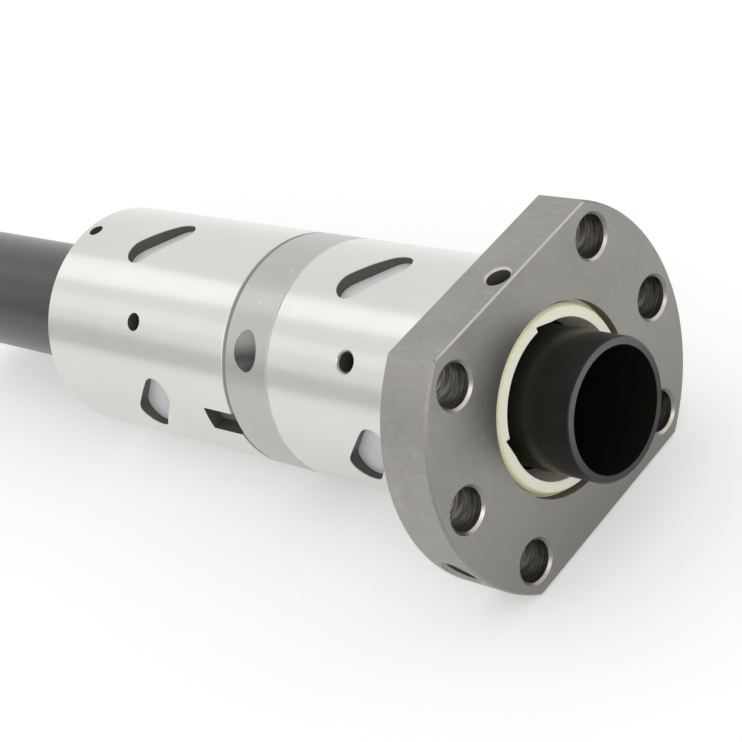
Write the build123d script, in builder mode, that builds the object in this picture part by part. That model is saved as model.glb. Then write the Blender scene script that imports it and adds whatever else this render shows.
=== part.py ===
from build123d import *
import os
from math import cos, degrees, radians, sin, tan

# Preloaded double ball nut on its mounting sleeve.
#
# A flanged nut and a plain rear nut stand on either side of a spacer ring. Each nut has a helical
# ball track, four oblong return deflectors set in pockets a quarter turn apart, and a wiper ring
# in its outer end. A plastic sleeve runs through both and keeps the balls in until the screw
# takes its place.
#
# Millimetres. X is the screw axis and points out of the flange, Z is square to the flange's
# flats, and the origin is on the axis at the flange's seating face. Angles are measured about X
# from +Y towards +Z.

os.makedirs("parts", exist_ok=True)

# Screw and balls
lead = 6.0
ball_diameter = 3.969
land_gap = 1.6

# Ball track: three flats round the ball, the two outer ones leaning outwards
track_clearance = 0.05
track_lean = 15.0
track_start_angle = -20.0
track_overrun = 0.05
helix_start_angle = 90.0
cutter_overlap = 0.3

# Mounting sleeve
sleeve_diameter = 29.4
sleeve_wall = 1.65
sleeve_front_overhang = 13.3
sleeve_rear_overhang = 73.5
sleeve_chamfer = 0.3
sleeve_ball_clearance = 0.05

# Nuts and spacer, along the axis from the flange backwards
body_diameter = 53.0
front_nut_length = 48.0
spacer_width = 13.5
rear_nut_length = 65.0
body_edge_chamfer = 0.5
joint_edge_chamfer = 0.8
hole_chamfer_angle = 90.0

# Flange
flange_diameter = 80.0
flange_thickness = 12.0
flange_width = 62.0
flange_edge_chamfer = 0.5
bolt_circle_diameter = 66.0
bolt_hole_diameter = 9.0
bolt_hole_chamfer = 0.6
bolts_each_side = 3
bolt_spacing_angle = 45.0

# Oil port in the flange's rim
oil_port_angle = 202.5
oil_port_position = 6.0
oil_port_diameter = 7.0
oil_port_mouth_diameter = 8.4
oil_port_depth = 9.0
oilway_diameter = 2.0
oilway_position = 3.7

# Return deflectors
circuits_per_nut = 4
pocket_length = 17.3
pocket_width = 8.0
pocket_slant = 50.0
deflector_clearance = 0.05
deflector_sink = 2.8
return_lift = 1.4
return_bend_share = 0.8
front_circuits_shift = 0.4
rear_circuits_shift = 0.5

# Radial holes between two pockets
check_hole_diameter = 4.2
check_hole_chamfer = 0.5
check_hole_place = 1.5
rear_check_hole_shift = 0.9
rear_check_hole_turn = 1.4

# Wipers
wiper_recess_step = 4.0
wiper_recess_depth = 7.2
wiper_clearance = 0.05
wiper_rim_share = 0.82
wiper_face_share = 0.65
wiper_nick_share = 0.4
wiper_mouth_share = 0.12
wiper_throat_gap = 0.8
wiper_face_sink = 0.3
wiper_bevel_depth = 1.0
wiper_shoulder_sink = 2.4
wiper_lip_clearance = 0.05
wiper_lip_depth = 4.2
wiper_lip_width = 0.6
wiper_tab_start = 87.0
wiper_tab_end = 167.0
wiper_nick_run = 15.0
wiper_nick_depth = 2.2

# Set screws that hold the wipers
wiper_screw_depth = 3.7
front_screw_diameter = 4.9
front_screw_sink = 4.7
rear_screw_diameter = 3.4
rear_screw_sink = 1.4
screw_hole_clearance = 0.05
screw_hole_chamfer = 0.5
screw_hole_runout = 0.2
screw_socket_share = 0.5
screw_socket_depth = 2.0

# Key and dowel that stop the nuts and the spacer turning on each other
keyway_width = 6.0
keyway_length = 10.0
keyway_depth = 5.7
key_height = 2.4
key_reach = 5.0
key_clearance = 0.05
key_chamfer = 0.25
dowel_diameter = 4.0
dowel_length = 10.0
dowel_inset = 3.9
dowel_clearance = 0.05
dowel_angle = 60.0

# Spacer
spacer_wall = 7.3
spacer_hole_diameter = 6.9
spacer_hole_angle = 140.0
spacer_hole_tilt = 41.0
spacer_hole_depth = 7.0

# Worked out from the sizes above
body_radius = body_diameter / 2
flange_radius = flange_diameter / 2
sleeve_radius = sleeve_diameter / 2
land_radius = sleeve_radius + land_gap
recess_radius = land_radius + wiper_recess_step
spacer_bore_radius = body_radius - spacer_wall
keyway_floor_radius = body_radius - keyway_depth
dowel_circle_radius = body_radius - dowel_inset
ball_circle_radius = sleeve_radius + sleeve_ball_clearance + ball_diameter / 2
track_radius = ball_diameter / 2 + track_clearance
quarter = 360 / circuits_per_nut
circuit_step = lead + lead / circuits_per_nut

spacer_front = -front_nut_length
spacer_rear = spacer_front - spacer_width
rear_end = spacer_rear - rear_nut_length
sleeve_front = flange_thickness + sleeve_front_overhang
sleeve_rear = rear_end - sleeve_rear_overhang

half_run = (circuits_per_nut - 1) * circuit_step / 2
front_first_circuit = spacer_front / 2 - front_circuits_shift - half_run
rear_first_circuit = (spacer_rear + rear_end) / 2 - rear_circuits_shift - half_run

check_hole_angle = check_hole_place * quarter
front_screw_position = flange_thickness - wiper_screw_depth
rear_screw_position = rear_end + wiper_screw_depth


def outward(angle):
    """Unit vector from the screw axis towards an angle."""
    return Vector(0, cos(radians(angle)), sin(radians(angle)))


def radial_plane(position, angle, radius):
    """Plane that faces outwards at a place on a cylinder about the axis."""
    return Plane(origin=Vector(position, 0, 0) + outward(angle) * radius,
                 x_dir=(1, 0, 0), z_dir=outward(angle))


def pocket_plane(first_circuit, index, radius=0.0):
    """Plane square to a circuit's radius, with its local X along the slanted pocket."""
    angle = index * quarter
    along = Vector(1, 0, 0) * cos(radians(pocket_slant)) + outward(angle - 90) * sin(radians(pocket_slant))
    centre = Vector(first_circuit + index * circuit_step, 0, 0)
    return Plane(origin=centre + outward(angle) * radius, x_dir=along, z_dir=outward(angle))


def track_section(ball_centre, forwards, up):
    """Section of a ball track at one ball, open towards the screw."""
    floor = track_radius * tan(radians(90 - track_lean) / 2)
    foot = ball_circle_radius - land_radius + cutter_overlap
    mouth = floor + (track_radius + foot) * tan(radians(track_lean))
    with BuildSketch(Plane(origin=ball_centre, x_dir=forwards.cross(up), z_dir=forwards)) as section:
        with BuildLine():
            Polyline((-mouth, foot), (-floor, -track_radius), (floor, -track_radius),
                     (mouth, foot), close=True)
        make_face()
    return section.sketch


def ball_track(first_circuit):
    """Cutter for the right-hand helical track through all circuits of one nut."""
    start = first_circuit - lead / 2 + lead * track_start_angle / 360
    end = first_circuit + (circuits_per_nut - 1) * circuit_step + lead / 2 + lead * track_overrun
    with BuildPart() as cutter:
        with BuildLine() as path:
            Helix(pitch=lead, height=end - start, radius=ball_circle_radius,
                  center=(start, 0, 0), direction=(1, 0, 0))
        helix_start = path.line @ 0
        sweep(sections=track_section(helix_start, path.line % 0, helix_start - Vector(start, 0, 0)),
              path=path.line, is_frenet=True)
    with BuildPart() as turned_cutter:
        add(cutter, rotation=(track_start_angle - helix_start_angle, 0, 0))
    return turned_cutter.part


def deflector(first_circuit, index):
    """Oblong insert with the S-shaped channel that lifts the balls back over one land."""
    middle = pocket_plane(first_circuit, index).origin
    angle = index * quarter
    half_arc = (pocket_length - pocket_width) / 2 * sin(radians(pocket_slant))
    bend_angle = degrees(half_arc / ball_circle_radius)
    entry_angle = degrees((half_arc + pocket_width / 2) / ball_circle_radius)
    entry_share = 1 - entry_angle / 180

    def ball_at(turn, share, lift):
        """Ball centre at an angle past the deflector's middle and a share of half the lead."""
        radius = ball_circle_radius + lift
        return middle + Vector(share * lead / 2, 0, 0) + outward(angle + turn) * radius

    with BuildPart() as insert:
        with BuildSketch(pocket_plane(first_circuit, index, land_radius)):
            SlotOverall(pocket_length - 2 * deflector_clearance, pocket_width - 2 * deflector_clearance)
        extrude(amount=body_radius - deflector_sink - land_radius)
        with BuildLine() as path:
            Polyline(ball_at(-entry_angle, entry_share, 0),
                     ball_at(-bend_angle, return_bend_share, return_lift),
                     ball_at(0, 0, return_lift),
                     ball_at(bend_angle, -return_bend_share, return_lift),
                     ball_at(entry_angle, -entry_share, 0))
        sweep(sections=track_section(path.line @ 0, path.line % 0, outward(angle - entry_angle)),
              path=path.line, transition=Transition.RIGHT, mode=Mode.SUBTRACT)
    return insert.part


def wiper(end_face, inwards):
    """Plastic wiper ring in the recess behind an end face; inwards is -1 or 1 along X."""
    outer = recess_radius - wiper_clearance
    rim = land_radius + wiper_rim_share * wiper_recess_step
    face = land_radius + wiper_face_share * wiper_recess_step
    nick = land_radius + wiper_nick_share * wiper_recess_step
    mouth = land_radius + wiper_mouth_share * wiper_recess_step
    throat = sleeve_radius + wiper_throat_gap
    lip = sleeve_radius + wiper_lip_clearance
    ring_outline = [(wiper_face_sink, mouth), (wiper_face_sink, face),
                    (wiper_face_sink + wiper_bevel_depth, rim), (wiper_shoulder_sink, rim),
                    (wiper_shoulder_sink, outer), (wiper_recess_depth, outer),
                    (wiper_recess_depth, throat)]
    lip_outline = [(wiper_face_sink, mouth), (wiper_recess_depth, mouth),
                   (wiper_lip_depth + wiper_lip_width, lip), (wiper_lip_depth, lip)]
    turned_pieces = [(ring_outline, 0, 360)]
    for turn in (0, 180):
        turned_pieces.append((lip_outline, wiper_tab_start + turn, wiper_tab_end - wiper_tab_start))
    with BuildPart() as ring:
        for outline, start, arc in turned_pieces:
            with BuildSketch(Plane.XY.rotated((start, 0, 0))):
                with BuildLine():
                    Polyline([(end_face + inwards * depth, radius) for depth, radius in outline],
                             close=True)
                make_face()
            revolve(axis=Axis.X, revolution_arc=arc)
        with BuildSketch(Plane.YZ.offset(end_face)):
            for turn in (0, 180):
                for edge, side in ((wiper_tab_start + turn, -1), (wiper_tab_end + turn, 1)):
                    corners = [outward(edge) * throat, outward(edge) * nick,
                               outward(edge + side * wiper_nick_run) * mouth,
                               outward(edge + side * wiper_nick_run / 2) * throat]
                    with BuildLine():
                        Polyline([(corner.Y, corner.Z) for corner in corners], close=True)
                    make_face()
        extrude(amount=inwards * wiper_nick_depth, mode=Mode.SUBTRACT)
    return ring.part


def set_screw(position, angle, diameter, head_radius):
    """Socket set screw from a wiper's rim out to its socket end."""
    with BuildPart() as screw:
        with BuildSketch(radial_plane(position, angle, recess_radius)):
            Circle(diameter / 2)
        extrude(amount=head_radius - recess_radius)
        with BuildSketch(radial_plane(position, angle, head_radius)):
            RegularPolygon(diameter * screw_socket_share / 2, 6, major_radius=False)
        extrude(amount=-screw_socket_depth, mode=Mode.SUBTRACT)
    return screw.part


with BuildPart() as flanged_nut:
    with BuildSketch(Plane.YZ.offset(-front_nut_length)):
        Circle(body_radius)
    extrude(amount=front_nut_length)
    chamfer(flanged_nut.edges().group_by(Axis.X)[0], body_edge_chamfer)
    with BuildSketch(Plane.YZ.offset(-front_nut_length)):
        Circle(land_radius)
    extrude(amount=front_nut_length, mode=Mode.SUBTRACT)
    add(ball_track(front_first_circuit), mode=Mode.SUBTRACT)
    for index in range(circuits_per_nut):
        with BuildSketch(pocket_plane(front_first_circuit, index, land_radius - track_radius)):
            SlotOverall(pocket_length, pocket_width)
        extrude(amount=body_radius, mode=Mode.SUBTRACT)
    with BuildSketch(Plane.YZ):
        Circle(flange_radius)
        Rectangle(flange_diameter, flange_width, mode=Mode.INTERSECT)
    extrude(amount=flange_thickness)
    chamfer(flanged_nut.edges().group_by(Axis.X)[-1], flange_edge_chamfer)
    with BuildSketch(Plane.YZ):
        Circle(land_radius)
    extrude(amount=flange_thickness, mode=Mode.SUBTRACT)
    with BuildSketch(Plane.YZ.offset(flange_thickness)):
        Circle(recess_radius)
    extrude(amount=-wiper_recess_depth, mode=Mode.SUBTRACT)
    for side in (0, 180):
        with Locations(Plane.YZ.offset(flange_thickness)):
            with PolarLocations(bolt_circle_diameter / 2, bolts_each_side,
                                start_angle=side - bolt_spacing_angle,
                                angular_range=2 * bolt_spacing_angle, endpoint=True):
                CounterSinkHole(bolt_hole_diameter / 2, bolt_hole_diameter / 2 + bolt_hole_chamfer,
                                counter_sink_angle=hole_chamfer_angle)
    with Locations(radial_plane(front_first_circuit + check_hole_place * circuit_step,
                                check_hole_angle, body_radius)):
        CounterSinkHole(check_hole_diameter / 2, check_hole_diameter / 2 + check_hole_chamfer,
                        depth=body_radius - land_radius + cutter_overlap, counter_sink_angle=hole_chamfer_angle)
    for angle in (90, 270):
        with Locations(radial_plane(front_screw_position, angle, flange_width / 2)):
            CounterSinkHole(front_screw_diameter / 2 + screw_hole_clearance,
                            front_screw_diameter / 2 + screw_hole_clearance + screw_hole_chamfer,
                            depth=flange_width / 2 - recess_radius + screw_hole_runout,
                            counter_sink_angle=hole_chamfer_angle)
    with Locations(radial_plane(oil_port_position, oil_port_angle, flange_radius)):
        CounterSinkHole(oil_port_diameter / 2, oil_port_mouth_diameter / 2,
                        depth=oil_port_depth, counter_sink_angle=hole_chamfer_angle)
    with Locations(radial_plane(oilway_position, oil_port_angle, flange_radius - oil_port_depth)):
        Hole(oilway_diameter / 2, depth=flange_radius - oil_port_depth - land_radius + cutter_overlap)
    with BuildSketch(Plane.YZ.offset(spacer_front)):
        with PolarLocations(dowel_circle_radius, 1, start_angle=dowel_angle):
            Circle(dowel_diameter / 2 + dowel_clearance)
    extrude(amount=dowel_length / 2, mode=Mode.SUBTRACT)

with BuildPart() as rear_nut:
    with BuildSketch(Plane.YZ.offset(rear_end)):
        Circle(body_radius)
    extrude(amount=rear_nut_length)
    chamfer(rear_nut.edges().group_by(Axis.X)[0], body_edge_chamfer)
    chamfer(rear_nut.edges().group_by(Axis.X)[-1], joint_edge_chamfer)
    with BuildSketch(Plane.YZ.offset(rear_end)):
        Circle(land_radius)
    extrude(amount=rear_nut_length, mode=Mode.SUBTRACT)
    add(ball_track(rear_first_circuit), mode=Mode.SUBTRACT)
    for index in range(circuits_per_nut):
        with BuildSketch(pocket_plane(rear_first_circuit, index, land_radius - track_radius)):
            SlotOverall(pocket_length, pocket_width)
        extrude(amount=body_radius, mode=Mode.SUBTRACT)
    with BuildSketch(Plane.YZ.offset(rear_end)):
        Circle(recess_radius)
    extrude(amount=wiper_recess_depth, mode=Mode.SUBTRACT)
    with Locations(radial_plane(rear_first_circuit + check_hole_place * circuit_step + rear_check_hole_shift,
                                check_hole_angle + rear_check_hole_turn, body_radius)):
        Hole(check_hole_diameter / 2, depth=body_radius - land_radius + cutter_overlap)
    for angle in (90, 270):
        with Locations(radial_plane(rear_screw_position, angle, body_radius)):
            Hole(rear_screw_diameter / 2 + screw_hole_clearance,
                 depth=body_radius - recess_radius + screw_hole_runout)
    with Locations((spacer_rear, -keyway_floor_radius, 0)):
        Box(keyway_length, body_radius, keyway_width,
            align=(Align.MAX, Align.MAX, Align.CENTER), mode=Mode.SUBTRACT)

with BuildPart() as spacer_ring:
    with BuildSketch(Plane.YZ.offset(spacer_rear)):
        Circle(body_radius)
    extrude(amount=spacer_width)
    chamfer(spacer_ring.edges().group_by(Axis.X)[0], body_edge_chamfer)
    with BuildSketch(Plane.YZ.offset(spacer_rear)):
        Circle(spacer_bore_radius)
    extrude(amount=spacer_width, mode=Mode.SUBTRACT)
    hole_mouth = radial_plane(spacer_rear + spacer_width / 2, spacer_hole_angle, body_radius)
    with BuildSketch(hole_mouth.rotated((spacer_hole_tilt, 0, 0))):
        Circle(spacer_hole_diameter / 2)
    extrude(amount=spacer_hole_depth, both=True, mode=Mode.SUBTRACT)
    with Locations((spacer_rear, -keyway_floor_radius, 0)):
        Box(key_reach, key_height + 2 * key_clearance, keyway_width,
            align=(Align.MIN, Align.MAX, Align.CENTER), mode=Mode.SUBTRACT)
    with BuildSketch(Plane.YZ.offset(spacer_front)):
        with PolarLocations(dowel_circle_radius, 1, start_angle=dowel_angle):
            Circle(dowel_diameter / 2 + dowel_clearance)
    extrude(amount=-dowel_length / 2, mode=Mode.SUBTRACT)

with BuildPart() as locking_key:
    with Locations((spacer_rear + key_reach - key_clearance, -keyway_floor_radius - key_clearance, 0)):
        Box(key_reach + keyway_length - 2 * key_clearance, key_height, keyway_width - 2 * key_clearance,
            align=(Align.MAX, Align.MAX, Align.CENTER))
    chamfer(locking_key.edges().filter_by(Axis.X), key_chamfer)

with BuildPart() as spacer_dowel:
    with BuildSketch(Plane.YZ.offset(spacer_front)):
        with PolarLocations(dowel_circle_radius, 1, start_angle=dowel_angle):
            Circle(dowel_diameter / 2)
    extrude(amount=dowel_length / 2 - dowel_clearance, both=True)

with BuildPart() as mounting_sleeve:
    with BuildSketch(Plane.YZ.offset(sleeve_rear)):
        Circle(sleeve_radius)
        Circle(sleeve_radius - sleeve_wall, mode=Mode.SUBTRACT)
    extrude(amount=sleeve_front - sleeve_rear)
    for end in (0, -1):
        chamfer(mounting_sleeve.edges().group_by(Axis.X)[end].sort_by(SortBy.RADIUS)[-1], sleeve_chamfer)

pieces = {"flanged_nut": flanged_nut.part, "rear_nut": rear_nut.part, "spacer_ring": spacer_ring.part,
          "locking_key": locking_key.part, "spacer_dowel": spacer_dowel.part,
          "mounting_sleeve": mounting_sleeve.part, "front_wiper": wiper(flange_thickness, -1),
          "rear_wiper": wiper(rear_end, 1)}

for index in range(circuits_per_nut):
    pieces[f"front_deflector_{index + 1}"] = deflector(front_first_circuit, index)
    pieces[f"rear_deflector_{index + 1}"] = deflector(rear_first_circuit, index)

for name, angle in (("upper", 90), ("lower", 270)):
    pieces[f"front_wiper_screw_{name}"] = set_screw(front_screw_position, angle, front_screw_diameter,
                                                    flange_width / 2 - front_screw_sink)
    pieces[f"rear_wiper_screw_{name}"] = set_screw(rear_screw_position, angle, rear_screw_diameter,
                                                   body_radius - rear_screw_sink)

for name, piece in pieces.items():
    piece.label = name
    export_step(piece, f"parts/{name}.step")
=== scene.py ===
"""Looks for the preloaded double ball nut on its mounting sleeve.

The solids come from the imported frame. This file adds the balls, the thread in the oil port, the
finishes of every piece and the studio. Lengths are metres in the frame of the part: X is the screw
axis and points out of the flange, Z is square to the flange's flats.
"""

from math import atan2, cos, pi, radians, sin, tau

import bmesh
import bpy
from bpy.props import FloatProperty, FloatVectorProperty, IntProperty, PointerProperty
from mathutils import Matrix, Quaternion, Vector


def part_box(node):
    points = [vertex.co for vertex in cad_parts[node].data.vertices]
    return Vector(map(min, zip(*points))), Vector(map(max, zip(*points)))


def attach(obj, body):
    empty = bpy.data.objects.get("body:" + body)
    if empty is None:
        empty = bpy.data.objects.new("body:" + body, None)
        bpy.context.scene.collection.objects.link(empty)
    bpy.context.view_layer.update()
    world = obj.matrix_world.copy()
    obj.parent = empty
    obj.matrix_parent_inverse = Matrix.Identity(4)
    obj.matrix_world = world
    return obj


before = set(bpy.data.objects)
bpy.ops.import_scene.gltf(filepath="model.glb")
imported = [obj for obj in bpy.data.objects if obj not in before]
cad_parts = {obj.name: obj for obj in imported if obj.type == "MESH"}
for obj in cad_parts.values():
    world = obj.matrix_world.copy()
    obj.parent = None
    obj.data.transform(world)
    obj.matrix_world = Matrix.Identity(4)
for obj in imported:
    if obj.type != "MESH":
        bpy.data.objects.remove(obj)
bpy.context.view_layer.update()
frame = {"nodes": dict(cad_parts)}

bl_info = {
    "name": "Double ball nut",
    "version": (1, 0, 0),
    "blender": (4, 5, 0),
    "location": "View3D > Sidebar > Ball nut",
    "description": "Balls, oil port thread, finishes and studio for a flanged double ball nut",
    "category": "Add Mesh",
}

MM = 0.001
NUT = "nut_unit"
DEFLECTORS = sorted(name for name in frame["nodes"] if "_deflector_" in name)
SET_SCREWS = sorted(name for name in frame["nodes"] if "_screw_" in name)

# Places and sizes that the finishes follow, in millimetres, with the angles in degrees
REAR_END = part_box("rear_nut")[0].x / MM
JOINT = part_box("spacer_ring")[0].x / MM
SPACER_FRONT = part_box("spacer_ring")[1].x / MM
FLANGE_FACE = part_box("flanged_nut")[1].x / MM
FLAT_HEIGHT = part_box("flanged_nut")[1].z / MM
SLEEVE_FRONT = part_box("mounting_sleeve")[1].x / MM
BODY_RADIUS = 26.5
FLANGE_RADIUS = 40.0
RECESS_RADIUS = 20.3
CHAMFER = 0.5

# Bolt holes: reach from the axis, turn from one to the next, bore and mouth, and the height from the middle
# at which the corner holes take over from the one between them
BOLT_REACH = 33.0
BOLT_SPACING_ANGLE = 45
BOLT_RADIUS, BOLT_MOUTH = 4.5, 5.1
BOLT_SPLIT = 12.0

# Other holes: how deep a wall's finish goes, places along the axis and about it, bores and chamfer mouths
FINISH_DEPTH = 12.0
SCREW_HOLE_PLACE = 8.3
SCREW_HOLE_RADIUS, SCREW_HOLE_MOUTH = 2.5, 3.0
PORT_MOUTH = 4.2
CHECK_HOLE_PLACE, CHECK_HOLE_ANGLE = -24.4, 135
CHECK_HOLE_RADIUS, CHECK_HOLE_MOUTH = 2.1, 2.6

# The spacer's slanted hole: angle about the axis, half its length along it, and the radius of its floor
SLANTED_HOLE_ANGLE = 140
SLANTED_HOLE_HALF = 4.2
SLANTED_HOLE_FLOOR = 19.3

# Marks: place and angle of the spacer's two punch marks, and where the sleeve's greyer rear begins and is full
PUNCH_MARKS = ((-54.0, 115.7), (-50.7, 96.0))
SLEEVE_GREY_FROM, SLEEVE_GREY_FULL = -120.0, -135.0

# Sides of a wall where light and shade are painted: Y and Z shares in a bolt hole, X, Y and Z in the slanted hole
HIGHLIGHT_SIDE = (0.18, -0.98)
SHADED_SIDE = (0.8, -0.6)
UPPER_WALL = (-0.14, 0.64, 0.76)

# How the oil port's thread meets the wall: its bite in metres, and half its root as a share of the pitch
THREAD_BITE = 0.02 * MM
THREAD_HALF_ROOT = 0.42

# Lamps and cards: name, lean along the screw axis, turn about it in degrees, width and length in metres,
# and for a lamp the setting that holds its brightness
LAMPS = (("overhead_strip", -0.7, 96, 0.40, 1.5, "strip_brightness"),
         ("side_strip", -0.7, 132, 0.26, 1.5, "side_brightness"),
         ("front_lamp", 0.8, 138, 0.8, 0.8, "front_brightness"))
CARDS = (("side_card", -0.7, 166, 0.34, 1.5), ("back_card", 0.7, 75, 0.3, 1.5), ("low_back_card", 0.7, 20, 0.3, 1.5))


def outward(angle):
    """Unit vector from the screw axis at an angle from +Y towards +Z."""
    return Vector((0, cos(angle), sin(angle)))


# Sizes and colours


class BallSettings(bpy.types.PropertyGroup):
    """The balls of one circuit and the path that they run on."""

    diameter: FloatProperty(name="Ball diameter", description="Diameter of one ball",
                            default=3.969 * MM, unit="LENGTH", precision=6)
    circle_radius: FloatProperty(name="Ball circle radius", description="Screw axis to ball centre in the track",
                                 default=16.7345 * MM, unit="LENGTH", precision=6)
    lead: FloatProperty(name="Lead", description="Advance of the track in one turn",
                        default=6 * MM, unit="LENGTH", precision=6)
    count: IntProperty(name="Balls in a circuit", description="Balls that fill one circuit and its return",
                       default=26, min=1)
    return_angle: FloatProperty(name="Return half angle", description="Turn from a deflector's middle to its mouth",
                                default=radians(25.9), subtype="ANGLE")
    bend_angle: FloatProperty(name="Return bend angle", description="Turn from a deflector's middle to its bend",
                              default=radians(12.2), subtype="ANGLE")
    bend_share: FloatProperty(name="Return bend share", description="Share of the side step made at the bend",
                              default=0.8)
    lift: FloatProperty(name="Return lift", description="How far the return carries a ball outwards",
                        default=1.4 * MM, unit="LENGTH", precision=6)


class ThreadSettings(bpy.types.PropertyGroup):
    """The thread cut into the oil port in the flange's rim."""

    port_angle: FloatProperty(name="Port angle", description="Angle of the port about the screw axis",
                              default=radians(202.5), subtype="ANGLE")
    port_position: FloatProperty(name="Port position", description="Port axis from the flange's seating face",
                                 default=6 * MM, unit="LENGTH", precision=6)
    wall_radius: FloatProperty(name="Wall radius", description="Radius of the bored port",
                               default=3.5 * MM, unit="LENGTH", precision=6)
    crest_radius: FloatProperty(name="Crest radius", description="Radius to the thread's crests",
                                default=3.15 * MM, unit="LENGTH", precision=6)
    pitch: FloatProperty(name="Pitch", description="Distance between two crests",
                         default=1 * MM, unit="LENGTH", precision=6)
    inner_end: FloatProperty(name="Inner end", description="Screw axis to the thread's first turn",
                             default=32 * MM, unit="LENGTH", precision=6)
    turns: IntProperty(name="Turns", description="Full turns of thread", default=7, min=1)
    steps: IntProperty(name="Steps in a turn", description="Sides that one turn is drawn with", default=28, min=8)


class FinishSettings(bpy.types.PropertyGroup):
    """Colours of the metals and plastics."""

    nut_steel: FloatVectorProperty(name="Ground nut steel", description="Bright ground outside of both nuts",
                                   default=(0.69, 0.69, 0.655), subtype="COLOR", size=3, min=0, max=1)
    # Duller ground steel, painted darker than the nut steel as shade for the darker surroundings that the flange
    # reflects.
    shaded_flange_steel: FloatVectorProperty(name="Flange steel", description="Darker ground steel of the flange",
                                      default=(0.385, 0.373, 0.347), subtype="COLOR", size=3, min=0, max=1)
    # Painted highlight on the pocket brims and on chamfers, in the tone of fresh cut steel.
    cut_steel_highlight: FloatVectorProperty(name="Fresh cut steel", description="Chamfers cut after the grinding",
                                   default=(0.72, 0.68, 0.58), subtype="COLOR", size=3, min=0, max=1)
    # Painted shade on the walls of pockets and holes and in the flange's recess.
    hollow_shade: FloatVectorProperty(name="Hollow steel", description="Blackened walls of pockets and holes",
                                      default=(0.085, 0.081, 0.066), subtype="COLOR", size=3, min=0, max=1)
    # Painted shade in the groove of the joint between spacer and rear nut.
    groove_shade: FloatVectorProperty(name="Groove steel", description="Dark joint between spacer and rear nut",
                                      default=(0.27, 0.27, 0.25), subtype="COLOR", size=3, min=0, max=1)
    # Dark drill lines in the bolt holes, together with painted shade on one side of each bore.
    drill_lines_and_shade: FloatVectorProperty(name="Drilled steel", description="Dark lines of the drill in the bolt holes",
                                       default=(0.066, 0.06, 0.052), subtype="COLOR", size=3, min=0, max=1)
    punched_steel: FloatVectorProperty(name="Punched steel", description="Small punch marks on the spacer",
                                       default=(0.75, 0.75, 0.72), subtype="COLOR", size=3, min=0, max=1)
    wall_shade: FloatVectorProperty(name="Slanted hole shade", description="Lower wall of the spacer's slanted hole",
                                    default=(0.08, 0.08, 0.075), subtype="COLOR", size=3, min=0, max=1)
    wall_light: FloatVectorProperty(name="Slanted hole light", description="Upper wall of the spacer's slanted hole",
                                    default=(0.85, 0.85, 0.83), subtype="COLOR", size=3, min=0, max=1)
    # Dark speckles on the lower wall of the slanted hole.
    dark_speckle_steel: FloatVectorProperty(name="Swarf", description="Dark crumbs left in the slanted hole",
                                     default=(0.03, 0.03, 0.03), subtype="COLOR", size=3, min=0, max=1)
    # Painted highlight on the spacer's front edge.
    edge_highlight_steel: FloatVectorProperty(name="Edge steel", description="Bright front edge of the spacer",
                                    default=(0.85, 0.85, 0.82), subtype="COLOR", size=3, min=0, max=1)
    spacer_steel: FloatVectorProperty(name="Spacer steel", description="Matte grey of the spacer ring",
                                      default=(0.515, 0.508, 0.482), subtype="COLOR", size=3, min=0, max=1)
    insert_steel: FloatVectorProperty(name="Insert steel", description="Satin bluish deflector inserts",
                                      default=(0.85, 0.86, 0.89), subtype="COLOR", size=3, min=0, max=1)
    key_steel: FloatVectorProperty(name="Key steel", description="Oiled key and dowel",
                                   default=(0.21, 0.21, 0.16), subtype="COLOR", size=3, min=0, max=1)
    black_steel: FloatVectorProperty(name="Black steel", description="Blackened set screws",
                                     default=(0.035, 0.034, 0.033), subtype="COLOR", size=3, min=0, max=1)
    ball_steel: FloatVectorProperty(name="Ball steel", description="Polished balls",
                                    default=(0.7, 0.7, 0.7), subtype="COLOR", size=3, min=0, max=1)
    cream_plastic: FloatVectorProperty(name="Cream plastic", description="Face of the wiper rings",
                                       default=(0.96, 0.945, 0.82), subtype="COLOR", size=3, min=0, max=1)
    rim_plastic: FloatVectorProperty(name="Rim plastic", description="Bevelled rim of the wiper rings",
                                     default=(0.88, 0.85, 0.6), subtype="COLOR", size=3, min=0, max=1)
    amber_plastic: FloatVectorProperty(name="Amber plastic", description="Inside of the wiper rings",
                                       default=(1.0, 0.92, 0.72), subtype="COLOR", size=3, min=0, max=1)
    sleeve_plastic: FloatVectorProperty(name="Sleeve plastic", description="Black plastic of the mounting sleeve",
                                        default=(0.007, 0.007, 0.0055), subtype="COLOR", size=3, min=0, max=1)
    # Greyer plastic of the rear end and the cut end face.
    greyer_plastic: FloatVectorProperty(name="Worn plastic", description="Greyer rear end and cut end face",
                                      default=(0.034, 0.035, 0.035), subtype="COLOR", size=3, min=0, max=1)


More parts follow.
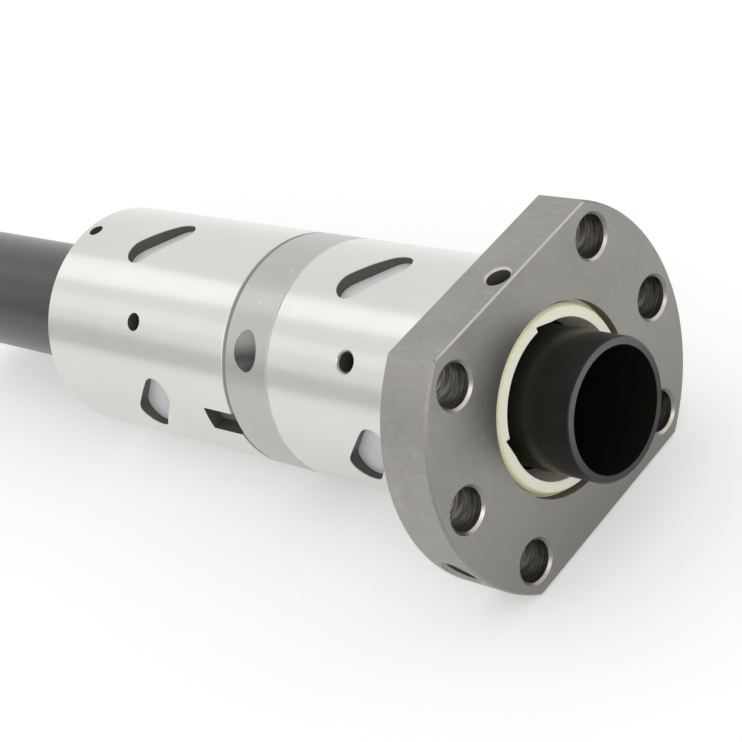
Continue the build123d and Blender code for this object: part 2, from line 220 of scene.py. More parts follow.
class StageSettings(bpy.types.PropertyGroup):
    """Floor, lamps and camera."""

    camera_place: FloatVectorProperty(name="Camera place", description="Where the camera stands",
                                      default=(0.25736, -0.20796, 0.22835), subtype="TRANSLATION", size=3)
    camera_aim: FloatVectorProperty(name="Camera aim", description="The point the camera looks at",
                                    default=(-0.02177, -0.0157, 0.01428), subtype="TRANSLATION", size=3)
    camera_roll: FloatProperty(name="Camera roll", description="Turn of the camera about its own view line",
                               default=radians(-26.188), subtype="ANGLE")
    camera_lens: FloatProperty(name="Lens", description="Focal length on a 36 mm sensor", default=95.27)
    floor_front: FloatProperty(name="Floor under flange", description="Height of the flat that the flange rests on",
                               default=-FLAT_HEIGHT * MM, unit="LENGTH", precision=6)
    floor_rear: FloatProperty(name="Floor under rear nut", description="Height of the rear nut's lowest edge",
                              default=-BODY_RADIUS * MM, unit="LENGTH", precision=6)
    rear_end: FloatProperty(name="Rear nut end", description="Place of the rear nut's end face on the axis",
                            default=REAR_END * MM, unit="LENGTH", precision=6)
    floor_size: FloatProperty(name="Floor size", description="Side of the square floor", default=6.0, unit="LENGTH")
    floor_tone: FloatProperty(name="Floor tone", description="Grey of the floor", default=0.7)
    floor_glow: FloatProperty(name="Floor glow", description="Light that the floor seems to give of its own",
                              default=0.3)
    card_tone: FloatProperty(name="Card tone", description="Grey of the cards", default=0.82)
    world_level: FloatProperty(name="Room light", description="Light that the white room gives", default=1.0)
    strip_brightness: FloatProperty(name="Overhead strip", description="Brightness of the long lamp overhead",
                                    default=0.36)
    side_brightness: FloatProperty(name="Side strip", description="Brightness of the narrow lamp at the side",
                                   default=0.14)
    front_brightness: FloatProperty(name="Front lamp", description="Brightness of the soft lamp before the flange",
                                    default=1.5)
    lamp_colour: FloatVectorProperty(name="Lamp colour", description="Slightly warm light of the lamps",
                                     default=(1.0, 0.96, 0.94), subtype="COLOR", size=3, min=0, max=1)
    lamp_distance: FloatProperty(name="Lamp distance", description="From the part to the lamps and the cards",
                                 default=1.4, unit="LENGTH")
    lamp_aim: FloatProperty(name="Lamp aim", description="Place on the screw axis that the lamps and cards face",
                            default=-60 * MM, unit="LENGTH", precision=6)


# Shader nodes


class Value:
    """A node output that can stand in Python arithmetic."""

    def __init__(self, finish, socket):
        self.finish, self.socket = finish, socket

    def maths(self, operation, *terms):
        return self.finish.node("ShaderNodeMath", {"operation": operation}, dict(enumerate((self, *terms))))

    def __add__(self, other):
        return self.maths("ADD", other)

    __radd__ = __add__

    def __mul__(self, other):
        return self.maths("MULTIPLY", other)

    def __sub__(self, other):
        return self.maths("SUBTRACT", other)

    def __rsub__(self, other):
        return self.finish.node("ShaderNodeMath", {"operation": "SUBTRACT"}, {0: other, 1: self})

    def __truediv__(self, other):
        return self.maths("DIVIDE", other)

    def __pow__(self, other):
        return self.maths("POWER", other)

    def __abs__(self):
        return self.maths("ABSOLUTE")

    def rises(self, low, high):
        """0 below low, 1 above high, with a soft step between."""
        return self.finish.node("ShaderNodeMapRange", {"interpolation_type": "SMOOTHSTEP"},
                                {"Value": self, "From Min": low, "From Max": high})

    def within(self, low, high, soft):
        """1 between low and high, 0 outside, with soft steps."""
        return self.rises(low - soft, low + soft) * (1 - self.rises(high - soft, high + soft))


class Finish:
    """One material, or the world, built up node by node."""

    def __init__(self, name, owner=None):
        self.material = owner or bpy.data.materials.new(name)
        self.material.use_nodes = True
        self.tree = self.material.node_tree
        self.tree.nodes.clear()

    def node(self, kind, settings, inputs, output=0):
        """Adds a node: its settings first, then the value or link of each socket."""
        node = self.tree.nodes.new(kind)
        for name, value in settings.items():
            setattr(node, name, value)
        for name, value in inputs.items():
            if isinstance(value, Value):
                self.tree.links.new(value.socket, node.inputs[name])
            else:
                node.inputs[name].default_value = value
        return Value(self, node.outputs[output]) if node.outputs else None

    def place(self):
        """The point on the surface, in metres in the frame of the part."""
        return self.node("ShaderNodeTexCoord", {}, {}, "Object")

    def parts(self, vector):
        """The three numbers of a vector, in millimetres."""
        scaled = self.node("ShaderNodeVectorMath", {"operation": "SCALE"}, {0: vector, "Scale": 1 / MM})
        split = self.node("ShaderNodeSeparateXYZ", {}, {0: scaled})
        return tuple(Value(self, out) for out in split.socket.node.outputs)

    def stretched(self, vector, factors):
        """A vector times a factor for each axis."""
        return self.node("ShaderNodeVectorMath", {"operation": "MULTIPLY"}, {0: vector, 1: factors})

    def noise(self, vector, scale, detail):
        return self.node("ShaderNodeTexNoise", {}, {"Vector": vector, "Scale": scale, "Detail": detail})

    def distance(self, across, up):
        """Length of a line from its two legs."""
        return (across * across + up * up) ** 0.5

    def cut_spiral(self, across, up, along):
        """Place along a tool's spiral in a hole: round the wall, and along it."""
        turn = across.maths("ARCTAN2", up)
        return self.node("ShaderNodeCombineXYZ", {}, {"X": turn * 0.6, "Y": along * 0.1, "Z": along + turn * 0.7})

    def mix(self, share, first, second):
        """A colour between two colours."""
        colours = {6: colour(first), 7: colour(second)}
        return self.node("ShaderNodeMix", {"data_type": "RGBA"}, {0: share, **colours}, 2)

    def bump(self, height, depth, strength=0.5):
        """A normal that makes height look like relief of that depth."""
        return self.node("ShaderNodeBump", {}, {"Height": height, "Distance": depth, "Strength": strength})

    def surface(self, **sockets):
        """Ends the material in one Principled shader."""
        named = {name.replace("_", " ").title().replace("Ior", "IOR"): value for name, value in sockets.items()}
        named["Base Color"] = colour(named["Base Color"])
        shader = self.node("ShaderNodeBsdfPrincipled", {}, named)
        self.node("ShaderNodeOutputMaterial", {}, {"Surface": shader})
        return self.material


def colour(value):
    """A colour with its alpha, or the link that brings one."""
    return value if isinstance(value, Value) else (*tuple(value)[:3], 1.0)


def grey(level):
    """A grey with its alpha."""
    return (level, level, level, 1.0)


def light_seen(finish):
    """1 where the camera, a gloss or a clear piece sees the surface, and 0 for its light."""
    rays = finish.node("ShaderNodeLightPath", {}, {}).socket.node.outputs
    camera, glossy, clear = (Value(finish, rays[name])
                             for name in ("Is Camera Ray", "Is Glossy Ray", "Is Transmission Ray"))
    return camera.maths("MAXIMUM", glossy.maths("MAXIMUM", clear))


# Finishes


def grinding(finish, place):
    """Fine lines that run round the axis, as a grinding wheel leaves them."""
    fine = finish.noise(finish.stretched(place, (9000, 60, 60)), 1.0, 2.0)
    broad = finish.noise(finish.stretched(place, (1400, 25, 25)), 1.0, 3.0)
    return fine * 0.6 + broad * 0.4


def dimmed(tone, share):
    """A colour times a number."""
    return [share * part for part in tone]


def hole_marks(across, along, radius, mouth, top):
    """Masks for a hole and its chamfer, from the offset across its axis and the height along it."""
    depth = mouth - radius
    floor = top - FINISH_DEPTH
    inside = (1 - across.rises(radius + 0.01, radius + 0.04)) * along.rises(floor, floor + 0.1)
    chamfer = across.within(radius + 0.04, mouth - 0.03, 0.02) * along.within(top - depth - 0.02, top - 0.02, 0.01)
    return inside, chamfer


def nut_body(finish, place, colours, lines, front_end, rear_end):
    """Bright ground outside, pocket walls painted dark as shade with a painted highlight along their thin brim, and
    soft clouds.
    """
    x, y, z = finish.parts(place)
    clouds = finish.noise(place, 45.0, 4.0)
    radius = finish.distance(y, z)
    base = finish.mix(clouds.rises(0.35, 0.7) * 0.4 + lines * 0.4, colours.nut_steel,
                      dimmed(colours.nut_steel, 0.93))
    ends = x.rises(front_end - CHAMFER - 0.06, front_end - CHAMFER - 0.04)
    ends = ends + (1 - x.rises(rear_end + CHAMFER + 0.02, rear_end + CHAMFER + 0.04))
    # Painted highlight: a thin bright brim at the top of the pocket walls.
    brim = radius.within(BODY_RADIUS - 0.22, BODY_RADIUS - 0.08, 0.02) * (1 - ends)
    # Painted shade: the pocket walls darker than the outside.
    hollow = (1 - radius.rises(BODY_RADIUS - 0.2, BODY_RADIUS - 0.14)) * (1 - ends)
    base = finish.mix(brim * 0.6, base, colours.cut_steel_highlight)
    return x, y, z, radius, hollow, finish.mix(hollow, base, colours.hollow_shade)


def rear_nut_finish(colours):
    """The rear nut: its edge at the spacer is painted dark as shade in the groove."""
    finish = Finish("rear_nut_steel")
    place = finish.place()
    lines = grinding(finish, place)
    x, _, _, radius, hollow, base = nut_body(finish, place, colours, lines, JOINT, REAR_END)
    # Painted shade in the groove at the spacer.
    groove = x.rises(JOINT - 0.85, JOINT - 0.6) * (1 - radius.rises(BODY_RADIUS - 0.06, BODY_RADIUS - 0.02))
    base = finish.mix(groove, base, colours.groove_shade)
    dull = (hollow * 0.8).maths("MAXIMUM", groove)
    return finish.surface(base_color=base, metallic=1 - dull, roughness=lines * 0.08 + 0.15 + dull * 0.35,
                          normal=finish.bump(lines, 0.004 * MM))


def flanged_nut_finish(colours, thread):
    """The flanged nut: the flange is duller and mottled, with painted shade that darkens its steel, its bottom, its
    face, its holes and its recess; its bores show the drill under painted shade; its chamfers and the flat's front
    edge carry painted highlights, and the bolt hole chamfers and the rim's edge painted shade.
    """
    finish = Finish("flanged_nut_steel")
    place = finish.place()
    lines = grinding(finish, place)
    x, y, z, radius, hollow, base = nut_body(finish, place, colours, lines, CHAMFER + 0.1, SPACER_FRONT)
    grain = finish.noise(place, 900.0, 4.0)
    stains = finish.noise(place, 70.0, 6.0)
    scuffs = finish.noise(finish.stretched(place, (300, 700, 420)), 1.0, 5.0)
    on_flange = x.rises(-0.05, 0.05)
    at_rim = radius.rises(FLANGE_RADIUS - 1.4, FLANGE_RADIUS - 0.1)
    # Scuffs and stains wear the flange paler.
    paler_share = scuffs.rises(0.5, 0.75) * 0.2 + at_rim * stains.rises(0.4, 0.6) * 0.15
    # The flange's tone carries painted shade for the darker surroundings that it reflects.
    flange = finish.mix(grain * 0.5 + stains.rises(0.3, 0.7) * 0.5, colours.shaded_flange_steel,
                        dimmed(colours.shaded_flange_steel, 0.72))
    flange = finish.mix(paler_share, flange, dimmed(colours.shaded_flange_steel, 1.25))
    # Painted shade: the flange darker towards its bottom and on its face.
    darker = (1 - z.rises(-30.0, 12.0)) * 0.5 + x.rises(FLANGE_FACE - 0.1, FLANGE_FACE - 0.05) * 0.35
    flange = finish.mix(darker, flange, dimmed(colours.shaded_flange_steel, 0.66))
    rise = abs(z)
    in_corner = rise.rises(BOLT_SPLIT - 0.1, BOLT_SPLIT + 0.1)
    corner = outward(radians(BOLT_SPACING_ANGLE)) * BOLT_REACH
    bolt_y = y - y.maths("SIGN") * (BOLT_REACH - in_corner * (BOLT_REACH - corner.y))
    bolt_z = z - z.maths("SIGN") * in_corner * corner.z
    bolt = finish.distance(bolt_y, bolt_z)
    # Painted highlight on the lower side of each bolt hole's chamfer, and painted shade on the rest of it.
    highlight_side = ((bolt_y * HIGHLIGHT_SIDE[0] + bolt_z * HIGHLIGHT_SIDE[1]) / bolt).rises(0.62, 0.94)
    bore, cut = hole_marks(bolt, x, BOLT_RADIUS, BOLT_MOUTH, FLANGE_FACE)
    swirl = finish.noise(finish.cut_spiral(bolt_y, bolt_z, x), 2.2, 5.0)
    # Painted shade on one side of each bore, added to the dark drill lines.
    shaded = (bolt_y * SHADED_SIDE[0] + bolt_z * SHADED_SIDE[1]).rises(-4.0, 4.0) * 0.35
    flange = finish.mix(bore * (swirl.rises(0.38, 0.66) * 0.6 + 0.05 + shaded), flange, colours.drill_lines_and_shade)
    flange = finish.mix(cut * (1 - highlight_side) * 0.9, flange, dimmed(colours.shaded_flange_steel, 0.62))
    flat_hole, flat_cut = hole_marks(finish.distance(x - SCREW_HOLE_PLACE, y), rise, SCREW_HOLE_RADIUS,
                                     SCREW_HOLE_MOUTH, FLAT_HEIGHT)
    port = outward(thread.port_angle)
    port_across = finish.distance(x - thread.port_position / MM, z * port.y - y * port.z)
    port_hole, _ = hole_marks(port_across, y * port.y + z * port.z, thread.wall_radius / MM, PORT_MOUTH,
                              FLANGE_RADIUS)
    face_edge = FLANGE_FACE - CHAMFER
    # Painted highlight along the chamfer of the flat's front edge.
    bevel = (x + rise).within(face_edge + FLAT_HEIGHT - 0.1, face_edge + FLAT_HEIGHT + 0.1, 0.03)
    edge = bevel * rise.within(FLAT_HEIGHT - 0.38, FLAT_HEIGHT - 0.05, 0.05) * x.rises(face_edge - 0.05, face_edge)
    flange = finish.mix(edge * stains.rises(0.2, 0.5), flange, dimmed(colours.shaded_flange_steel, 1.5))
    rim_edge = FLANGE_RADIUS - CHAMFER
    # Painted shade on the rim's edge, stronger towards the top.
    shaded_rim_edge = radius.rises(rim_edge, rim_edge + 0.02) * x.rises(face_edge - 0.02, face_edge + 0.02)
    flange = finish.mix(shaded_rim_edge * (z.rises(-16.0, 2.0) * 0.7 + 0.05), flange, dimmed(colours.shaded_flange_steel, 0.55))
    # Painted highlight on the lit side of the bolt hole chamfers and on the chamfer of the screw hole on the flat.
    bright = (cut * highlight_side).maths("MAXIMUM", flat_cut * 0.7)
    flange = finish.mix(bright * (0.35 + stains.rises(0.3, 0.6) * 0.65), flange, colours.cut_steel_highlight)
    port_edge = port_across.within(PORT_MOUTH - 0.15, PORT_MOUTH + 0.05, 0.05)
    port_edge = port_edge * radius.rises(FLANGE_RADIUS - 1.0, FLANGE_RADIUS - 0.8)
    # Painted shade in the screw hole on the flat, in the oil port and at its mouth, and in the flange's recess.
    deep = flat_hole.maths("MAXIMUM", port_hole).maths("MAXIMUM", port_edge * 0.7)
    deep = deep.maths("MAXIMUM", 1 - radius.rises(RECESS_RADIUS - 0.05, RECESS_RADIUS + 0.05)) * on_flange
    flange = finish.mix(deep, flange, colours.hollow_shade)
    base = finish.mix(on_flange, base, flange)
    check = outward(radians(CHECK_HOLE_ANGLE))
    check_hole = finish.distance(x - CHECK_HOLE_PLACE, z * check.y - y * check.z)
    check_cut = check_hole.within(CHECK_HOLE_RADIUS + 0.04, CHECK_HOLE_MOUTH + 0.02, 0.03)
    check_cut = check_cut * radius.rises(BODY_RADIUS - 0.7, BODY_RADIUS - 0.6) * (1 - on_flange)
    base = finish.mix(check_cut * 0.6, base, colours.shaded_flange_steel)
    roughness = lines * 0.08 + 0.15 + on_flange * (0.2 + grain * 0.1)
    height = lines * (1 - on_flange) + on_flange * (grain + scuffs * 2.0) + bore * swirl * 12.0
    dull = (hollow * (1 - on_flange)).maths("MAXIMUM", deep)
    return finish.surface(base_color=base, metallic=1 - dull * 0.8, roughness=roughness + dull * 0.2,
                          normal=finish.bump(height, 0.004 * MM))


def spacer_finish(colours):
    """Matte grey steel with two small punch marks, painted light and shade and dark speckles in the slanted hole,
    painted shade in the joint at the rear nut and a painted highlight on the front edge.
    """
    finish = Finish("spacer_steel")
    place = finish.place()
    x, y, z = finish.parts(place)
    grain = finish.noise(place, 1400.0, 4.0)
    clouds = finish.noise(place, 110.0, 4.0)
    base = finish.mix(grain * 0.5 + clouds * 0.5, colours.spacer_steel, dimmed(colours.spacer_steel, 0.86))
    radius = finish.distance(y, z)
    for position, angle in PUNCH_MARKS:
        mark = outward(radians(angle)) * BODY_RADIUS
        gap = finish.distance(x - position, finish.distance(y - mark.y, z - mark.z))
        base = finish.mix((1 - gap.rises(0.2, 0.55)) * 0.3, base, colours.punched_steel)
    mouth = outward(radians(SLANTED_HOLE_ANGLE)) * BODY_RADIUS
    along, across, up = x - (JOINT + SPACER_FRONT) / 2, y - mouth.y, z - mouth.z
    hole = 1 - radius.rises(BODY_RADIUS - 0.2, BODY_RADIUS - 0.08)
    hole = hole * along.within(-SLANTED_HOLE_HALF, SLANTED_HOLE_HALF, 0.1)
    hole = hole * radius.rises(SLANTED_HOLE_FLOOR, SLANTED_HOLE_FLOOR + 0.1)
    # Painted light on the upper wall of the slanted hole and painted shade on its lower wall, with dark speckles low
    # on the wall.
    up_wall = along * UPPER_WALL[0] + across * UPPER_WALL[1] + up * UPPER_WALL[2]
    dark_speckle = finish.noise(place, 700.0, 3.0).rises(0.42, 0.55) * (1 - up_wall.rises(-4.2, -2.0))
    wall = finish.mix(up_wall.rises(-1.5, 5.0), colours.wall_shade, colours.wall_light)
    base = finish.mix(hole, base, finish.mix(dark_speckle, wall, colours.dark_speckle_steel))
    # Painted shade in the groove at the rear nut.
    groove = (1 - x.rises(JOINT + 0.5, JOINT + 0.55)) * (1 - radius.rises(BODY_RADIUS - 0.06, BODY_RADIUS - 0.02))
    base = finish.mix(groove, base, colours.groove_shade)
    # Painted highlight on the front edge.
    edge_highlight_mask = x.rises(SPACER_FRONT - 0.03, SPACER_FRONT - 0.01)
    edge_highlight_mask = edge_highlight_mask * radius.rises(BODY_RADIUS - 0.6, BODY_RADIUS - 0.55)
    base = finish.mix(edge_highlight_mask, base, colours.edge_highlight_steel)
    return finish.surface(base_color=base, metallic=1 - hole - edge_highlight_mask * 0.5, roughness=grain * 0.05 + 0.27,
                          normal=finish.bump(grain, 0.003 * MM))


def plain_metal(name, tone, roughness, grain_scale, grain_depth, metallic=1.0):
    """One even metal with a fine grain."""
    finish = Finish(name)
    place = finish.place()
    grain = finish.noise(place, grain_scale, 4.0)
    base = finish.mix(grain, tone, dimmed(tone, 0.85))
    return finish.surface(base_color=base, metallic=metallic, roughness=grain * 0.12 + roughness,
                          normal=finish.bump(grain, grain_depth))


def insert_finish(colours):
    """Satin inserts, with painted light making them paler at the top of the nut."""
    finish = Finish("deflector_steel")
    place = finish.place()
    z = finish.parts(place)[2]
    grain = finish.noise(place, 1100.0, 4.0)
    clouds = finish.noise(place, 260.0, 4.0)
    # Painted light: paler towards the top of the nut.
    tone = finish.mix(z.rises(0.0, 18.0), dimmed(colours.insert_steel, 0.76), colours.insert_steel)
    base = finish.mix(grain * 0.4 + clouds * 0.4, tone, dimmed(colours.insert_steel, 0.66))
    return finish.surface(base_color=base, metallic=0.2, roughness=grain * 0.12 + 0.4,
                          normal=finish.bump(grain, 0.012 * MM))


def wiper_finish(colours):
    """Cream plastic whose rim and hollows turn amber."""
    finish = Finish("wiper_plastic")
    place = finish.place()
    _, y, z = finish.parts(place)
    radius = finish.distance(y, z)
    clouds = finish.noise(place, 220.0, 3.0)
    cream = finish.mix(radius.rises(17.3, 19.4) * (0.8 + clouds * 0.4), colours.cream_plastic,
                       colours.rim_plastic)
    base = finish.mix(radius.rises(16.6, 16.75), colours.amber_plastic, cream)
    return finish.surface(base_color=base, roughness=0.42 + clouds * 0.1, subsurface_weight=0.15,
                          subsurface_scale=0.002, normal=finish.bump(clouds, 0.03 * MM, 0.4))


def sleeve_finish(colours):
    """Satin black plastic, greyer on its long rear end and on its cut end face, with painted light making the end
    face paler towards its top.
    """
    finish = Finish("sleeve_plastic")
    place = finish.place()
    x, _, z = finish.parts(place)
    drawn = finish.noise(finish.stretched(place, (30, 900, 900)), 1.0, 3.0)
    clouds = finish.noise(place, 120.0, 4.0)
    # The long rear end turns greyer.
    rear = 1 - x.rises(SLEEVE_GREY_FULL, SLEEVE_GREY_FROM)
    end_face = x.rises(SLEEVE_FRONT - 0.15, SLEEVE_FRONT - 0.05)
    paler_share = rear.maths("MAXIMUM", end_face)
    # Painted light: the cut end face paler towards its top.
    grey_and_lit_tone = finish.mix(end_face * z.rises(-6.0, 13.0), colours.greyer_plastic, dimmed(colours.greyer_plastic, 3.0))
    base = finish.mix(paler_share * (0.8 + clouds * 0.2), colours.sleeve_plastic, grey_and_lit_tone)
    return finish.surface(base_color=base, roughness=0.3 + clouds * 0.1, specular_ior_level=0.25,
                          coat_weight=rear * 0.45, coat_roughness=0.25, normal=finish.bump(drawn, 0.01 * MM))


def dress(piece, material):
    """Gives a piece its one material."""
    piece.data.materials.clear()
    piece.data.materials.append(material)


# Shapes


def new_object(name, shape):
    """Turns a bmesh into an object of the scene."""
    mesh = bpy.data.meshes.new(name)
    shape.to_mesh(mesh)
    shape.free()
    piece = bpy.data.objects.new(name, mesh)
    bpy.context.scene.collection.objects.link(piece)
    return piece


def make_piece(name, shape, body):
    """Turns a bmesh into a smooth piece that rides on a body."""
    bmesh.ops.recalc_face_normals(shape, faces=shape.faces)
    for face in shape.faces:
        face.smooth = True
    piece = new_object(name, shape)
    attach(piece, body)
    return piece


def circuit_path(balls, position, angle):
    """Points along one closed circuit: once round the track, then back over the land."""
    points = []
    track_steps = 120
    for step in range(track_steps + 1):
        turn = balls.return_angle + (tau - 2 * balls.return_angle) * step / track_steps
        along = position + balls.lead * (turn / tau - 0.5)
        points.append(Vector((along, 0, 0)) + outward(angle + turn) * balls.circle_radius)
    for turn, share in ((-balls.bend_angle, balls.bend_share), (0, 0), (balls.bend_angle, -balls.bend_share)):
        middle = Vector((position + share * balls.lead / 2, 0, 0))
        points.append(middle + outward(angle + turn) * (balls.circle_radius + balls.lift))
    return points


def spaced(points, count):
    """Places at equal steps along a closed line of points."""
    ends = points[1:] + points[:1]
    lengths = [(end - start).length for start, end in zip(points, ends)]
    step = sum(lengths) / count
    places, travelled, index = [], 0.0, 0
    for number in range(count):
        while travelled + lengths[index] < number * step:
            travelled += lengths[index]
            index += 1
        share = (number * step - travelled) / lengths[index]
        places.append(points[index].lerp(ends[index], share))
    return places


# Operators


class BALLNUT_OT_balls(bpy.types.Operator):
    """Fill each circuit with its balls"""

    bl_idname = "ball_nut.balls"
    bl_label = "Balls"

    def execute(self, context):
        balls, colours = context.scene.ball_nut_balls, context.scene.ball_nut_finishes
        steel = plain_metal("ball_steel", colours.ball_steel, roughness=0.12, grain_scale=300.0,
                            grain_depth=0.002 * MM)
        for node in DEFLECTORS:
            low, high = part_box(node)
            middle = (low + high) / 2
            angle = atan2(middle.z, middle.y)
            shape = bmesh.new()
            for place in spaced(circuit_path(balls, middle.x, angle), balls.count):
                bmesh.ops.create_icosphere(shape, subdivisions=2, radius=balls.diameter / 2,
                                           matrix=Matrix.Translation(place))
            piece = make_piece(node.replace("deflector", "balls"), shape, NUT)
            dress(piece, steel)
        return {"FINISHED"}


class BALLNUT_OT_oil_thread(bpy.types.Operator):
    """Cut the thread into the oil port"""

    bl_idname = "ball_nut.oil_thread"
    bl_label = "Oil port thread"

    def execute(self, context):
        thread, colours = context.scene.ball_nut_thread, context.scene.ball_nut_finishes
        axis = outward(thread.port_angle)
        side = Vector((1, 0, 0))
        centre = side * thread.port_position
        wall, half = thread.wall_radius + THREAD_BITE, thread.pitch * THREAD_HALF_ROOT
        shape = bmesh.new()
        corners = [shape.verts.new(centre + side * reach + axis * (thread.inner_end + rise))
                   for reach, rise in ((wall, -half), (thread.crest_radius, 0), (wall, half))]
        profile = shape.faces.new(corners)
        steps = thread.turns * thread.steps
        bmesh.ops.spin(shape, geom=[profile], cent=centre, axis=axis, dvec=axis * thread.pitch / thread.steps,
                       angle=tau * thread.turns, steps=steps, use_merge=False)
        piece = make_piece("oil_port_thread", shape, NUT)
        # The thread is painted dark as shade inside the port.
        dress(piece, plain_metal("shaded_thread_steel", dimmed(colours.shaded_flange_steel, 0.35), roughness=0.3,
                                 grain_scale=500.0, grain_depth=0.01 * MM))
        return {"FINISHED"}


class BALLNUT_OT_nut_finishes(bpy.types.Operator):
    """Finish the two nuts, the spacer ring and what locks them"""

    bl_idname = "ball_nut.nut_finishes"
    bl_label = "Nut finishes"

    def execute(self, context):
        colours, nodes = context.scene.ball_nut_finishes, frame["nodes"]
        dress(nodes["flanged_nut"], flanged_nut_finish(colours, context.scene.ball_nut_thread))
        dress(nodes["rear_nut"], rear_nut_finish(colours))
        dress(nodes["spacer_ring"], spacer_finish(colours))
        grained = {"roughness": 0.4, "grain_scale": 700.0, "grain_depth": 0.01 * MM}
        black = plain_metal("black_steel", colours.black_steel, **grained)
        for name in SET_SCREWS:
            dress(nodes[name], black)
        key_steel = plain_metal("key_steel", colours.key_steel, metallic=0.2, **grained)
        for name in ("locking_key", "spacer_dowel"):
            dress(nodes[name], key_steel)
        return {"FINISHED"}


class BALLNUT_OT_insert_finishes(bpy.types.Operator):
    """Finish the eight deflector inserts"""

    bl_idname = "ball_nut.insert_finishes"
    bl_label = "Deflector finishes"

    def execute(self, context):
        colours = context.scene.ball_nut_finishes
        satin = insert_finish(colours)
        for name in DEFLECTORS:
            dress(frame["nodes"][name], satin)
        return {"FINISHED"}


class BALLNUT_OT_plastic_finishes(bpy.types.Operator):
    """Finish the wiper rings and the mounting sleeve"""

    bl_idname = "ball_nut.plastic_finishes"
    bl_label = "Plastic finishes"

    def execute(self, context):
        colours = context.scene.ball_nut_finishes
        cream = wiper_finish(colours)
        for name in ("front_wiper", "rear_wiper"):
            dress(frame["nodes"][name], cream)
        dress(frame["nodes"]["mounting_sleeve"], sleeve_finish(colours))
        return {"FINISHED"}


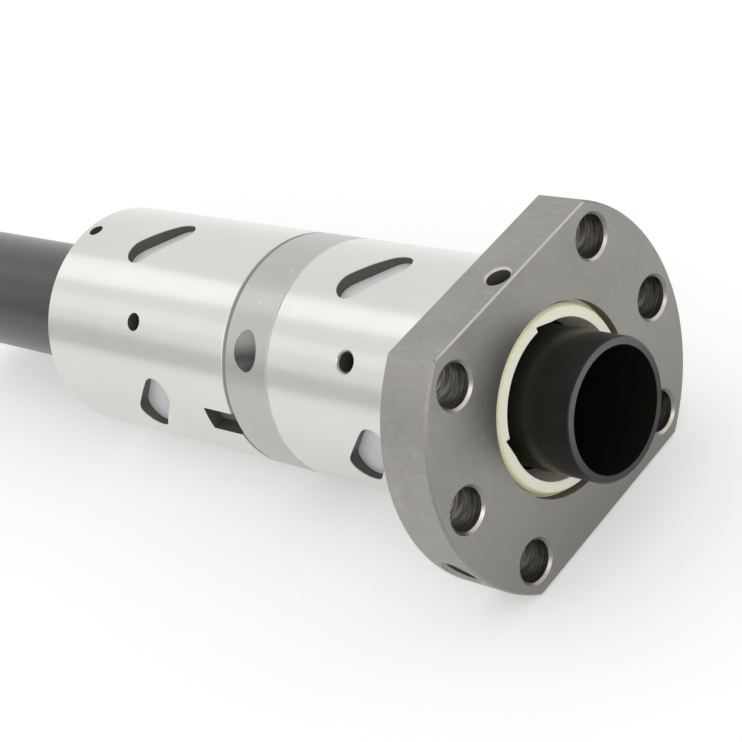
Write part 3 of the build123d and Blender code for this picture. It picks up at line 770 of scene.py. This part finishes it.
class BALLNUT_OT_stage(bpy.types.Operator):
    """Set the floor, the lamps and the camera"""

    bl_idname = "ball_nut.stage"
    bl_label = "Stage"

    def execute(self, context):
        stage = context.scene.ball_nut_stage
        self.set_floor(stage)
        self.set_room(context.scene, stage)
        for name, lean, turn, width, length, setting in LAMPS:
            place = self.beside_part(stage, lean, turn)
            self.add_lamp(name, place, width, length, getattr(stage, setting), stage.lamp_colour)
        for name, lean, turn, width, length in CARDS:
            self.add_card(name, self.beside_part(stage, lean, turn), width, length, stage.card_tone)
        self.set_camera(context.scene, stage)
        context.scene.view_settings.view_transform = "Standard"
        return {"FINISHED"}

    def set_floor(self, stage):
        """A floor tilted to touch the flange's flat and the rear nut's edge."""
        slope = atan2(stage.floor_rear - stage.floor_front, -stage.rear_end)
        shape = bmesh.new()
        bmesh.ops.create_grid(shape, x_segments=1, y_segments=1, size=stage.floor_size / 2)
        bmesh.ops.rotate(shape, verts=shape.verts, cent=(0, 0, 0), matrix=Matrix.Rotation(slope, 3, "Y"))
        bmesh.ops.translate(shape, verts=shape.verts, vec=(0, 0, stage.floor_front))
        floor = self.stage_piece("floor", shape)
        finish = Finish("pale_floor")
        seen = light_seen(finish)
        matte = finish.node("ShaderNodeBsdfDiffuse", {}, {"Color": grey(stage.floor_tone)})
        glow = finish.node("ShaderNodeEmission", {}, {"Color": grey(1.0), "Strength": seen * stage.floor_glow})
        both = finish.node("ShaderNodeAddShader", {}, {0: matte, 1: glow})
        finish.node("ShaderNodeOutputMaterial", {}, {"Surface": both})
        dress(floor, finish.material)

    def set_room(self, scene, stage):
        """White light from all round."""
        world = bpy.data.worlds.new("white_room")
        scene.world = world
        room = Finish("white_room", world)
        glow = room.node("ShaderNodeBackground", {}, {"Color": grey(1.0), "Strength": stage.world_level})
        room.node("ShaderNodeOutputWorld", {}, {"Surface": glow})

    def beside_part(self, stage, lean, turn):
        """Place and directions of something that faces the part, its long side along the screw axis."""
        towards = Vector((lean, 0, 0)) + outward(radians(turn)) * (1 - lean * lean) ** 0.5
        across = Vector((1, 0, 0)).cross(towards).normalized()
        turned = Matrix((across, towards.cross(across), towards)).transposed().to_4x4()
        return Matrix.Translation(Vector((stage.lamp_aim, 0, 0)) + towards * stage.lamp_distance) @ turned

    def add_lamp(self, name, place, width, length, brightness, tone):
        """A rectangular lamp that the camera doesn't see."""
        data = bpy.data.lights.new(name, "AREA")
        data.shape, data.size, data.size_y = "RECTANGLE", width, length
        data.energy, data.color = brightness * pi * width * length, tone
        lamp = bpy.data.objects.new(name, data)
        lamp.matrix_world = place
        lamp.visible_camera = False
        bpy.context.scene.collection.objects.link(lamp)

    def add_card(self, name, place, width, length, tone):
        """A grey card that only reflections and light see."""
        shape = bmesh.new()
        bmesh.ops.create_grid(shape, x_segments=1, y_segments=1, size=0.5)
        bmesh.ops.scale(shape, verts=shape.verts, vec=(width, length, 1))
        bmesh.ops.transform(shape, verts=shape.verts, matrix=place)
        card = self.stage_piece(name, shape)
        card.visible_camera = False
        finish = Finish(name)
        matte = finish.node("ShaderNodeBsdfDiffuse", {}, {"Color": grey(tone)})
        finish.node("ShaderNodeOutputMaterial", {}, {"Surface": matte})
        dress(card, finish.material)

    def stage_piece(self, name, shape):
        """A piece of the studio, which isn't part of the object."""
        piece = new_object(name, shape)
        return piece

    def set_camera(self, scene, stage):
        """The camera fitted to the photograph."""
        data = bpy.data.cameras.new("camera")
        data.lens, data.sensor_width = stage.camera_lens, 36
        data.clip_start, data.clip_end = 0.01, 20
        camera = bpy.data.objects.new("camera", data)
        place, aim = Vector(stage.camera_place), Vector(stage.camera_aim)
        camera.location = place
        camera.rotation_mode = "QUATERNION"
        level = (aim - place).to_track_quat("-Z", "Y")
        camera.rotation_quaternion = level @ Quaternion((0, 0, 1), stage.camera_roll)
        scene.collection.objects.link(camera)
        scene.camera = camera


# Panel and start

OPERATORS = (BALLNUT_OT_balls, BALLNUT_OT_oil_thread, BALLNUT_OT_nut_finishes, BALLNUT_OT_insert_finishes,
             BALLNUT_OT_plastic_finishes, BALLNUT_OT_stage)
SETTINGS = {"ball_nut_balls": BallSettings, "ball_nut_thread": ThreadSettings,
            "ball_nut_finishes": FinishSettings, "ball_nut_stage": StageSettings}


class BALLNUT_PT_panel(bpy.types.Panel):
    """The ball nut's pieces, finishes and stage"""

    bl_idname = "BALLNUT_PT_panel"
    bl_label = "Ball nut"
    bl_space_type = "VIEW_3D"
    bl_region_type = "UI"
    bl_category = "Ball nut"

    def draw(self, context):
        for operator in OPERATORS:
            self.layout.operator(operator.bl_idname)
        for name, group in SETTINGS.items():
            box = self.layout.box()
            for key in group.__annotations__:
                box.prop(getattr(context.scene, name), key)


def register():
    for group in (*SETTINGS.values(), *OPERATORS, BALLNUT_PT_panel):
        bpy.utils.register_class(group)
    for name, group in SETTINGS.items():
        setattr(bpy.types.Scene, name, PointerProperty(type=group))


def unregister():
    for name in SETTINGS:
        delattr(bpy.types.Scene, name)
    for group in (BALLNUT_PT_panel, *reversed(OPERATORS), *SETTINGS.values()):
        bpy.utils.unregister_class(group)


def main():
    register()
    bpy.ops.ball_nut.balls()
    bpy.ops.ball_nut.oil_thread()
    bpy.ops.ball_nut.nut_finishes()
    bpy.ops.ball_nut.insert_finishes()
    bpy.ops.ball_nut.plastic_finishes()
    bpy.ops.ball_nut.stage()


if __name__ == "__main__":
    main()
